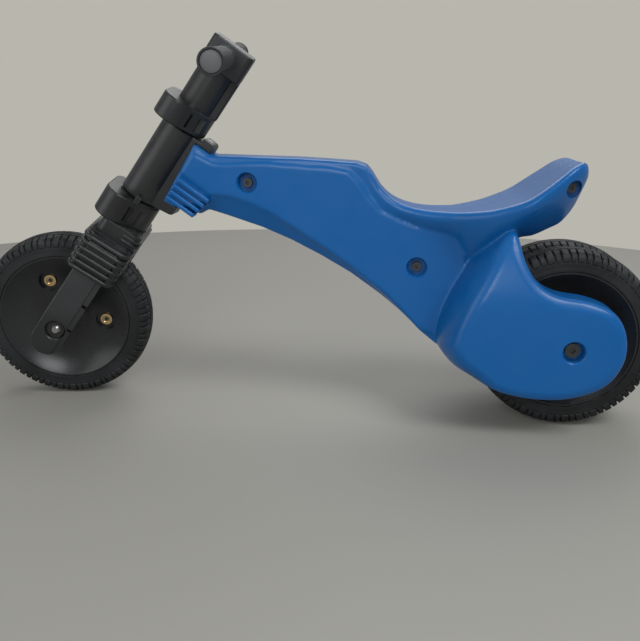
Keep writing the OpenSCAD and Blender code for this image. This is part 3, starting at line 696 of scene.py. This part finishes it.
def neck_ridges():
    """Four ribs on the neck's side, along the way down from the head tube."""
    ribs = []
    place = rear_axle().inverted() @ steering()
    for k in range(4):
        s = 224.5 + 9 * k
        rib = block((35, 12, s), (78 + 2 * k, mm("beam_half") + 3.2, s + 5.4), 2.2, 1.6)
        ribs.append(moved(rib, place))
    return ribs


def bolt_places():
    return [on_steer(302.5, 110), (-188, 83)], (-9, 188)


def well_tools():
    """The wheel well, the hollow in the lobe and the holes that hide the bolts."""
    half, lobe = mm("beam_half"), mm("lobe_half")
    well = turned([(0, -20), (123, -20), (123, 58.5), (121.5, 60), (0, 60)], 144)
    pocket_line = curve([(-98, -32), (-60, -46), (-5, -45), (32, -28), (44, 5), (32, 37), (2, 52),
                         (-44, 58), (-78, 60), (-94, 50), (-104, 30), (-108, 0)], 3, closed=True)
    pocket = sideways(pocket_line, 59, lobe - 6)
    ribs = [rod(21, 57, lobe, 48)]
    for k in range(6):
        rib = block((0, 57, -1.5), (150, lobe, 1.5))
        ribs.append(moved(rib, Matrix.Rotation(math.radians(20 + 60 * k), 4, "Y")))
    pocket = cut(pocket, *ribs)
    tools = [well, pocket]
    arms, tail = bolt_places()
    for p in arms:
        tools.append(turned([(0, half / 2), (12, half / 2), (12, half - 2.2), (14.6, half + 1), (14.6, half + 20),
                             (0, half + 20)], 48, centre=p))
    tools.append(rod(11, 34, 120, 48, tail))
    tools.append(turned([(0, lobe - 16), (13, lobe - 16), (13, lobe - 1.8), (15.4, lobe + 1), (15.4, lobe + 20),
                         (0, lobe + 20)], 48))
    tools.append(rod(6.1, -20, lobe + 10, 24))
    return tools


class BIKE_OT_frame_halves(bpy.types.Operator):
    """Moulds the two blue halves of the frame with their seat, lobes and bolt holes"""

    bl_idname = "bike.frame_halves"
    bl_label = "Frame Halves"

    def execute(self, context):
        rough = joined(beam_body(), side_panel(), lobe_body(), seat_body())
        skin = modified(
            rough,
            ("REMESH", {"mode": "VOXEL", "voxel_size": mm("moulding_cell")}),
            ("SMOOTH", {"factor": 0.5, "iterations": 6}))
        skin = cut(skin, *well_tools())
        bmesh.ops.bisect_plane(
            skin, geom=everything(skin), plane_co=(0, 0.15, 0), plane_no=(0, 1, 0), clear_inner=True)
        bmesh.ops.holes_fill(skin, edges=[e for e in skin.edges if e.is_boundary], sides=0)
        skin = joined(skin, *neck_ridges())
        left = copy_of(skin, MIRROR)
        for name, bm in (("frame_skin_right", skin), ("frame_skin_left", left)):
            finished(name, bm, "frame", "blue_plastic", [name.replace("skin", "half")], rear_axle(), 40)
        return {"FINISHED"}


# ---- Head tube ----

class BIKE_OT_head_tube(bpy.types.Operator):
    """Makes the head tube with the spine and lugs that hold the frame"""

    bl_idname = "bike.head_tube"
    bl_label = "Head Tube"

    def execute(self, context):
        radius = mm("head_radius")
        low, top = HEAD_LOW, HEAD_TOP
        wall = [(16, low), (radius - 1.2, low), (radius, low + 1.2), (radius, top - 1.2), (radius - 1.2, top),
                (16, top)]
        tube = moved(turned(wall, 96, closed=True), ALONG_Z)
        spine = [(17, low), (48, low + 5), (52, low + 7), (52, low + 18), (34, low + 18), (28, top - 5),
                 (50, top - 5), (50, top + 4), (47, top + 7), (33, top + 7), (33, top), (17, top)]
        plate = bevelled(sideways(spine, -15, 15), 1.6, 2)
        screw_hole = moved(rod(5, top + 2, top + 12, 32), Matrix.Translation((39, 0, 0)) @ ALONG_Z)
        plate = cut(plate, screw_hole)
        finished("head_tube_shell", joined(tube, plate), "frame", "black_plastic", ["head_tube"], steering())
        return {"FINISHED"}


# ---- Fork and stem ----

def collar(low, high, back_r, pocket_low, pocket_high, pocket_y):
    """A clamp that is round behind and reaches forwards in two wide ears."""
    line = round_hull([(0, 0, back_r), (-17.5, -23.5, 22), (-17.5, 23.5, 22)])
    body = bevelled(upright(line, low, high), 2.4, 3)
    tools = []
    for side in (-1, 1):
        for t0, t1, inset in ((-9, 5, 0), (14, 23, 4.2)):
            y = side * (pocket_y - inset)
            tools.append(block((t0, y - 6, pocket_low), (t1, y + 6, pocket_high), 1.5))
    return cut(body, *tools)


def leg_y(s, table):
    """A leg's inner or outer face at a height, from pairs of height and width."""
    for (s0, y0), (s1, y1) in zip(table, table[1:]):
        if s <= s1 or (s1, y1) == table[-1]:
            u = min(max((s - s0) / (s1 - s0), 0), 1)
            return y0 + (y1 - y0) * u
    return table[-1][1]


LEG_OUTER = [(-60, 69.5), (20, 69.5), (85, 57), (131, 61)]
LEG_INNER = [(-60, 51.5), (20, 51.5), (85, 34), (131, 34)]


def leg():
    """The right leg: a tapering blade with a round foot and pockets down its back."""
    foot = [(2 + 21 * math.cos(math.radians(a)), -19 + 21 * math.sin(math.radians(a))) for a in range(180, 361, 10)]
    bm = sideways(foot + [(23, 131), (-19, 131)], 0, 1)
    sliced(bm, (0, 20, 42, 64, 85, 108))
    for v in bm.verts:
        inner, outer = leg_y(v.co.z, LEG_INNER), leg_y(v.co.z, LEG_OUTER)
        v.co.y = inner + (outer - inner) * v.co.y
    bevelled(bm, 2.2, 3, angle=40)
    tools = []
    for low in (-26, -7, 12, 31, 50, 69):
        middle = low + 7.5
        inner, outer = leg_y(middle, LEG_INNER), leg_y(middle, LEG_OUTER)
        tools.append(block((13, inner + 4, low), (30, outer - 5, low + 15), 1.0))
    # The rear strip lies lower than the face and is notched in three
    for low, high in ((-50, 9), (10, 47), (48, 84)):
        middle = (low + high) / 2
        outer = leg_y(middle, LEG_OUTER)
        strip = block((15.5, 0, low), (40, 40, high), 0.8)
        turn = math.atan2(leg_y(high, LEG_OUTER) - leg_y(low, LEG_OUTER), high - low)
        place = Matrix.Translation((0, outer - 2.6, middle)) @ Matrix.Rotation(-turn, 4, "X")
        tools.append(moved(strip, place @ Matrix.Translation((0, 0, -middle))))
    for s in (9, 47):
        outer = leg_y(s, LEG_OUTER)
        tools.append(block((16.5, outer - 9, s - 2), (40, outer + 20, s + 2)))
    axle = (mm("fork_offset"), 0)
    seat = [(0, 63.5), (13, 63.5), (13, 68.4), (14.6, 70.5), (14.6, 80), (0, 80)]
    tools.append(turned(seat, 48, centre=axle))
    tools.append(rod(6.1, 40, 80, 32, axle))
    return cut(bm, *tools)


class BIKE_OT_fork(bpy.types.Operator):
    """Builds the fork: two legs, the ribbed crown, the neck and the lower collar"""

    bl_idname = "bike.fork"
    bl_label = "Fork"

    def execute(self, context):
        right = leg()
        left = copy_of(right, MIRROR)
        bmesh.ops.recalc_face_normals(left, faces=left.faces)
        parts = [right, left]
        low, top, count = 85, 141, 6
        pitch = (top - low) / count
        for k in range(count):
            s = low + k * pitch
            ring = upright(round_box(-31, 36, -62, 62, 14), s, s + pitch * 0.62)
            parts.append(bevelled(ring, 2.3, 3))
        parts.append(upright(round_box(-26.5, 31.5, -57.5, 57.5, 11), 119, top))
        for t0, t1 in ((-26.5, -19), (23, 31.5)):
            for side in (-1, 1):
                y0, y1 = sorted((side * 36, side * 57.5))
                parts.append(block((t0, y0, low + 1), (t1 + 1, y1, 122), 3))
        parts.append(bevelled(upright(round_box(-22, 34, -44, 44, 10), top - 1, top + 21), 1.5, 2))
        for s in (146, 152.5):
            parts.append(bevelled(upright(round_box(6, 37, -45.5, 45.5, 10), s, s + 4), 1.4, 2))
        body = cut(joined(*parts), block((-70, -34, -70), (70, 34, 123)))
        clamp = collar(161, 198, 32, 167, 190, 33)
        stops = []
        for side in (-1, 1):
            stop = block((30, -4, 196), (39, 4, 207), 1.5, 0.8)
            stops.append(moved(stop, Matrix.Rotation(side * math.radians(85), 4, "Z")))
        finished("fork_body", joined(body, clamp, *stops), "fork", "black_plastic", ["fork"], steering(True))
        return {"FINISHED"}


class BIKE_OT_stem(bpy.types.Operator):
    """Builds the stem: the upper collar, the round tube, the clamp head and the strip behind"""

    bl_idname = "bike.stem"
    bl_label = "Stem"

    def execute(self, context):
        radius = mm("stem_radius")
        clamp = collar(309, 339, 30, 314, 333, 30)
        tube = moved(turned([(0, 338), (radius, 338), (radius, 425), (radius - 2, 427), (0, 427)], 96), ALONG_Z)
        head = bevelled(upright(round_box(-26, 31, -26, 26, 8), 392, 429), 2.8, 3)
        strip = bevelled(upright(round_box(4, 31, -11, 11, 3), 338, 428), 1.2, 2)
        head = cut(head, rod(10.1, -40, 40, 48, (0, BAR_HEIGHT)))
        finished("stem_body", joined(clamp, tube, head, strip), "fork", "black_plastic", ["stem"], steering(True))
        return {"FINISHED"}


# ---- Handlebar ends ----

class BIKE_OT_grips(bpy.types.Operator):
    """Turns the ribbed grips and the plugs that close the bar"""

    bl_idname = "bike.grips"
    bl_label = "Grips"

    def execute(self, context):
        end, length = mm("bar_half"), mm("grip_length")
        start = end - length
        outer = [(10.1, start), (14.4, start), (15, start + 0.7), (15, start + 2.4), (13.4, start + 3.2)]
        for k in range(15):
            y = start + 6 + 7 * k
            outer += [(12.7, y - 0.6), (13.4, y + 0.2), (13.6, y + 1.0), (13.6, y + 2.6), (13.4, y + 3.4),
                      (12.7, y + 4.1)]
        outer += [(13.4, end - 5.6), (14.4, end - 5), (14.5, end - 4), (14.5, end - 1), (13.9, end), (12.4, end),
                  (12, end - 0.8), (12, end - 4.6), (10.1, end - 4.6)]
        grip = turned(outer, 72, closed=True)
        dome = [(0, end - 0.35), (5, end - 0.5), (9, end - 0.9), (11.2, end - 1.5), (11.85, end - 2.4),
                (11.85, end - 3.4), (7.8, end - 3.4), (7.8, end - 16), (0, end - 16)]
        plug = turned(dome, 64)
        place = steering(True) @ Matrix.Translation((0, 0, BAR_HEIGHT))
        for side, flip in (("right", Matrix.Identity(4)), ("left", MIRROR)):
            finished("grip_sleeve_" + side, copy_of(grip, flip), "fork", "grip_rubber", ["grip_" + side], place)
            finished("bar_cap_" + side, copy_of(plug, flip), "fork", "grey_plastic", ["bar_plug_" + side], place)
        grip.free()
        plug.free()
        return {"FINISHED"}


# ---- Wheels ----

WHEELS = ("front", "rear_left", "rear_right")


def wheel_place(wheel):
    if wheel == "front":
        return steering(True) @ Matrix.Translation((mm("fork_offset"), 0, 0))
    shift = (mm("tyre_width") + mm("twin_gap")) / 2
    return rear_axle(-shift if wheel == "rear_left" else shift)


def tread_point(y, crown=60):
    radius = mm("wheel_radius")
    return radius - crown + math.sqrt(crown * crown - y * y)


def carcass():
    """The tyre without its blocks: two ribs round the middle and smooth sidewalls."""
    half, deep = mm("tyre_width") / 2, mm("block_height")
    base = deep + 0.1
    right = [(tread_point(0) - 3, 0), (tread_point(1) - 3, 1.0), (tread_point(1) - 0.4, 1.4),
             (tread_point(2) - 0.05, 2.0), (tread_point(6) - 0.05, 6.2), (tread_point(6.8) - 0.4, 6.8),
             (tread_point(7) - 3, 7.2)]
    right += [(tread_point(y) - base, y) for y in (10, 14, 18, SHOULDER)]
    wall = ((104.4, 2.4), (101.4, 1.2), (98.2, 0.5), (95.6, 0.9), (93, 0.5), (90.4, 0.1), (88.6, 0.2),
            (88.1, 1), (88.1, 3.8), (84.1, 4.9))
    right += [(r, half - in_from) for r, in_from in wall]
    left = [(r, -y) for r, y in reversed(right[1:])]
    return turned(right + left, 144, closed=True)


SHOULDER = 21


def tread_block(y0, y1, width, angle):
    """One block of the shoulder, from the middle rib out over the edge."""
    deep, half = mm("block_height"), mm("tyre_width") / 2
    edge = min(y1, SHOULDER)
    stops = [y0, (y0 + edge) / 2, edge]
    outer = [(tread_point(y) - 0.25, y) for y in stops]
    inner = [(tread_point(y) - deep - 1.2, y) for y in stops]
    if y1 > SHOULDER:
        outer += [(tread_point(24) - 1.3, 23.8), (105.2, half - 0.1), (100.8, half - 0.05)]
        inner += [(103.5, 22.2), (99.6, 23.4)]
    profile = outer + inner[::-1]
    bm = prism(profile, lambda r, y: (r, y, -width / 2), (0, 0, width))
    bevelled(bm, 0.55, 1, angle=50)
    return moved(bm, Matrix.Rotation(angle, 4, "Y"))


def tread():
    """Long and short shoulder blocks in turn round both sides."""
    pairs = bpy.context.scene.bike_sizes.tread_pairs
    pitch = TURN / pairs
    first = []
    for side, start in ((1, 0.0), (-1, 0.5)):
        mirror = Matrix.Scale(side, 4, (0, 1, 0))
        first.append(moved(tread_block(8.6, 25.5, 8.2, pitch * start), mirror))
        first.append(moved(tread_block(8.6, 18.5, 7.0, pitch * (start + 0.5)), mirror))
        first.append(moved(tread_block(20.2, 25.5, 5.0, pitch * (start + 0.5)), mirror))
    bm = joined(*first)
    bmesh.ops.recalc_face_normals(bm, faces=bm.faces)
    bmesh.ops.spin(
        bm, geom=everything(bm), cent=(0, 0, 0), axis=(0, 1, 0), dvec=(0, 0, 0),
        angle=TURN - pitch, steps=pairs - 1, use_duplicate=True)
    return bm


class BIKE_OT_tyres(bpy.types.Operator):
    """Makes the three tyres with their ribs and shoulder blocks"""

    bl_idname = "bike.tyres"
    bl_label = "Tyres"

    def execute(self, context):
        whole = joined(carcass(), tread())
        for wheel in WHEELS:
            finished(wheel + "_tyre_tread", copy_of(whole), wheel + "_wheel", "tyre_rubber", [wheel + "_tyre"],
                     wheel_place(wheel), 30)
        whole.free()
        return {"FINISHED"}


BOLT_CIRCLE, BOLT_ANGLE, BOLT_COUNT = 52.5, 26.5, 3


def round_wheel():
    """Places of the clamp bolts round a wheel."""
    places = []
    for k in range(BOLT_COUNT):
        a = math.radians(BOLT_ANGLE + 360 / BOLT_COUNT * k)
        places.append(Matrix.Translation((BOLT_CIRCLE * math.cos(a), 0, BOLT_CIRCLE * math.sin(a))))
    return places


def disc():
    """One dished half of a rim with a deep well round each clamp bolt."""
    floor, lip = 9.8, 24.8
    bowl = [(9.2, 0.4), (9.2, lip), (13.2, lip), (14, lip - 1), (15.6, floor + 3.2), (18, floor + 0.8),
            (21, floor)]
    for k in range(1, 15):
        u = k / 14
        r = 24 + (84.6 - 24) * u
        bowl.append((r, floor + (lip - 0.6 - floor) * max(0, (u - 0.2) / 0.8) ** 2.1))
    bowl += [(85.4, lip), (87.2, lip), (88, lip - 0.8), (88, lip - 3), (84, lip - 4), (84, 0.4)]
    bm = turned(bowl, 120, closed=True)
    return cut(bm, *[moved(rod(14, 5, 40, 48), place) for place in round_wheel()])


class BIKE_OT_rims(bpy.types.Operator):
    """Makes the six dished discs"""

    bl_idname = "bike.rims"
    bl_label = "Wheel Discs"

    def execute(self, context):
        right = disc()
        left = copy_of(right, MIRROR)
        names = {"front": ("right", "left"), "rear_left": ("inner", "outer"), "rear_right": ("outer", "inner")}
        for wheel in WHEELS:
            for bm, side in zip((right, left), names[wheel]):
                finished(f"{wheel}_disc_{side}", copy_of(bm), wheel + "_wheel", "black_plastic",
                         [f"{wheel}_rim_{side}"], wheel_place(wheel), 34, look="disc_plastic")
        right.free()
        left.free()
        return {"FINISHED"}


class BIKE_OT_sleeve_nuts(bpy.types.Operator):
    """Turns the brass sleeve nuts with their round sockets"""

    bl_idname = "bike.sleeve_nuts"
    bl_label = "Sleeve Nuts"

    def execute(self, context):
        for wheel in WHEELS:
            side = 1 if wheel == "rear_right" else -1
            nut = turned([(0, 5.0), (8.2, 5.0), (8.5, 5.4), (8.5, 7.2), (7.9, 7.9), (5.2, 8.0), (4.6, 7.4),
                          (4.6, 6.2), (0, 6.2)], 48)
            bm = joined(*[copy_of(nut, place) for place in round_wheel()])
            nut.free()
            moved(bm, Matrix.Scale(side, 4, (0, 1, 0)))
            finished(wheel + "_sleeve_nuts", bm, wheel + "_wheel", "brass", [wheel + "_rim_nuts"],
                     wheel_place(wheel))
        return {"FINISHED"}


# ---- Plain hardware keeps its CAD shape and gets a finish ----

HARDWARE = {
    "grey_plastic": ("bushes", "spacers", "centre_washer", "head_bush"),
    "bolt_steel": ("bolts", "_nut", "screw", "axle", "frame_nuts"),
    "tube_steel": ("spindle", "handlebar"),
    "black_plastic": ("front_washers",),
}


# Steel that lies deep in a hole, darkened as painted shade
SHADED_IN_HOLES = ("frame_bolts", "frame_nuts", "rear_axle", "rear_axle_nut", "front_rim_bolts",
            "rear_left_rim_bolts", "rear_right_rim_bolts")


class BIKE_OT_hardware(bpy.types.Operator):
    """Gives the bolts, bushes, washers and tubes their finishes"""

    bl_idname = "bike.hardware"
    bl_label = "Hardware"

    def execute(self, context):
        for name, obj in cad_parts.items():
            if obj.hide_render:
                continue
            found = [slot for slot, words in HARDWARE.items() if any(w in name for w in words)]
            if not found:
                raise RuntimeError(f"no finish is set for {name}")
            look = "bolt_steel" if name == "spindle_bolts" else found[0]
            # Steel deep in a hole gets the darkened finish, which is painted shade
            material = finish("dark_bolt" if name in SHADED_IN_HOLES else look)
            if obj.material_slots:
                for place in obj.material_slots:
                    place.material = material
            else:
                obj.data.materials.append(material)
        return {"FINISHED"}


# ---- Stage ----

CAMERA = {"place": (0.11377, -0.95387, 0.39342), "azimuth": -5.645, "elevation": 16.163, "roll": -0.434,
          "lens": 41.34}
COOL = (0.97, 0.99, 1.0)
# Name, place, target, size, power, tint
LIGHTS = (
    ("window", (1.5, -1.0, 2.1), (0, 0, 0.2), 1.1, 33, COOL),
    ("front", (0.0, -2.3, 1.0), (0, 0, 0.15), 0.9, 14, COOL),
    ("left", (-1.9, -1.4, 0.9), (0.1, 0, 0.15), 1.6, 12, (1, 1, 1)),
    ("back", (0.2, 1.6, 1.9), (0, 0, 0.2), 1.8, 20, (1, 1, 1)),
)


def area_light(name, place, target, size, power, tint):
    light = bpy.data.lights.new(name, "AREA")
    light.shape, light.size, light.energy, light.color = "SQUARE", size, power, tint
    obj = bpy.data.objects.new(name, light)
    obj.location = place
    obj.rotation_euler = (Vector(target) - Vector(place)).to_track_quat("-Z", "Y").to_euler()
    bpy.context.scene.collection.objects.link(obj)


class BIKE_OT_stage(bpy.types.Operator):
    """Sets the floor, the soft lights and the camera"""

    bl_idname = "bike.stage"
    bl_label = "Stage"

    def execute(self, context):
        bm = bmesh.new()
        bmesh.ops.create_circle(bm, cap_ends=True, segments=96, radius=1.5)
        floor = as_object(bm, "floor")
        material = bpy.data.materials.new("floor_plain")
        material.use_nodes = True
        shader = material.node_tree.nodes["Principled BSDF"]
        shader.inputs["Base Color"].default_value = colour("floor")
        shader.inputs["Roughness"].default_value = 0.6
        floor.data.materials.append(material)
        world = bpy.data.worlds.new("studio")
        world.use_nodes = True
        back = world.node_tree.nodes["Background"]
        n = Nodes(world.node_tree)
        seen = n.mixed(n.add("ShaderNodeLightPath"), (0.3, 0.305, 0.31, 1), (0.48, 0.47, 0.42, 1))
        world.node_tree.links.new(seen, back.inputs["Color"])
        context.scene.world = world
        context.scene.view_settings.view_transform = "Standard"
        for light in LIGHTS:
            area_light(*light)
        data = bpy.data.cameras.new("camera")
        data.lens, data.sensor_width, data.sensor_fit = CAMERA["lens"], 36, "HORIZONTAL"
        data.clip_start, data.clip_end = 0.01, 100
        az, el, roll = (math.radians(CAMERA[k]) for k in ("azimuth", "elevation", "roll"))
        ahead = Vector((math.sin(az) * math.cos(el), math.cos(az) * math.cos(el), -math.sin(el)))
        right = Vector((math.cos(az), -math.sin(az), 0))
        down = ahead.cross(right)
        across = right * math.cos(roll) + down * math.sin(roll)
        below = down * math.cos(roll) - right * math.sin(roll)
        camera = bpy.data.objects.new("camera", data)
        axes = Matrix((across, -below, -ahead)).transposed().to_4x4()
        camera.matrix_world = Matrix.Translation(CAMERA["place"]) @ axes
        context.scene.collection.objects.link(camera)
        context.scene.camera = camera
        return {"FINISHED"}


# ---- Add-on ----

PIECES = (BIKE_OT_frame_halves, BIKE_OT_head_tube, BIKE_OT_fork, BIKE_OT_stem, BIKE_OT_grips, BIKE_OT_tyres,
          BIKE_OT_rims, BIKE_OT_sleeve_nuts, BIKE_OT_hardware, BIKE_OT_stage)


class BIKE_PT_build(bpy.types.Panel):
    """Lists the bike's pieces"""

    bl_label = "Balance Bike"
    bl_idname = "BIKE_PT_build"
    bl_space_type = "VIEW_3D"
    bl_region_type = "UI"
    bl_category = "Bike"

    def draw(self, context):
        for group in (context.scene.bike_sizes, context.scene.bike_colours):
            for key in group.bl_rna.properties.keys():
                if key not in ("rna_type", "name"):
                    self.layout.prop(group, key)
        for operator in PIECES:
            self.layout.operator(operator.bl_idname)


CLASSES = (BikeSizes, BikeColours) + PIECES + (BIKE_PT_build,)


def register():
    for cls in CLASSES:
        bpy.utils.register_class(cls)
    bpy.types.Scene.bike_sizes = PointerProperty(type=BikeSizes)
    bpy.types.Scene.bike_colours = PointerProperty(type=BikeColours)


def unregister():
    del bpy.types.Scene.bike_colours
    del bpy.types.Scene.bike_sizes
    for cls in reversed(CLASSES):
        bpy.utils.unregister_class(cls)


def main():
    register()
    for operator in PIECES:
        family, name = operator.bl_idname.split(".")
        getattr(getattr(bpy.ops, family), name)()


if __name__ == "__main__":
    main()
